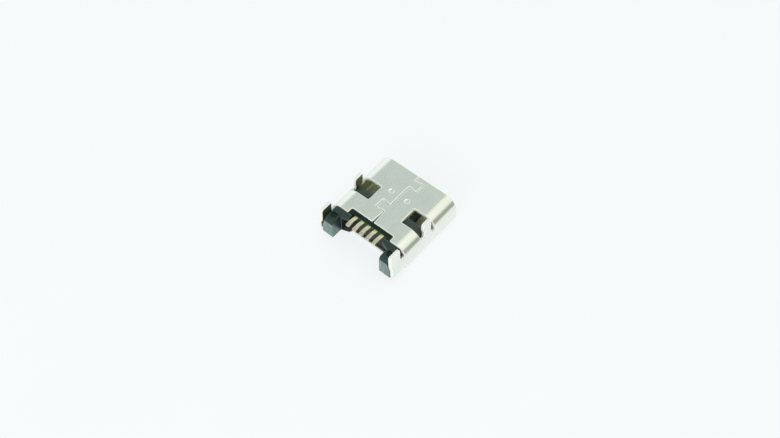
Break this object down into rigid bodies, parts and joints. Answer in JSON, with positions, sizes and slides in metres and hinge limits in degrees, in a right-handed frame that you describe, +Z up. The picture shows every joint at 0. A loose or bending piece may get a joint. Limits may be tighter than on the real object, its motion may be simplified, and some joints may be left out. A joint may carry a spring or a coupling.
{
  "type": "micro usb socket",
  "caption": "Through-hole micro USB socket: a rolled metal shell with a keyed seam, windows and board legs round a black insulator with a contact tongue and gold solder tails.",
  "frame": {"origin": "middle of the object's outline on the surface that its wide face lies on", "axes": "+Y out of the plug mouth, +Z up from the wide face to the seat face and the tips of the legs, +X across the width"},
  "size_m": [0.0074, 0.0078, 0.0032],
  "materials": {
    "plated_steel": "satin nickel plate",
    "insulator": "fine moulded grain",
    "contacts": "pale gold plate"
  },
  "bodies": {
    "root": {"shell": "plated_steel", "housing": "insulator", "contact_1": "contacts", "contact_2": "contacts", "contact_3": "contacts", "contact_4": "contacts", "contact_5": "contacts"}
  },
  "joints": []
}
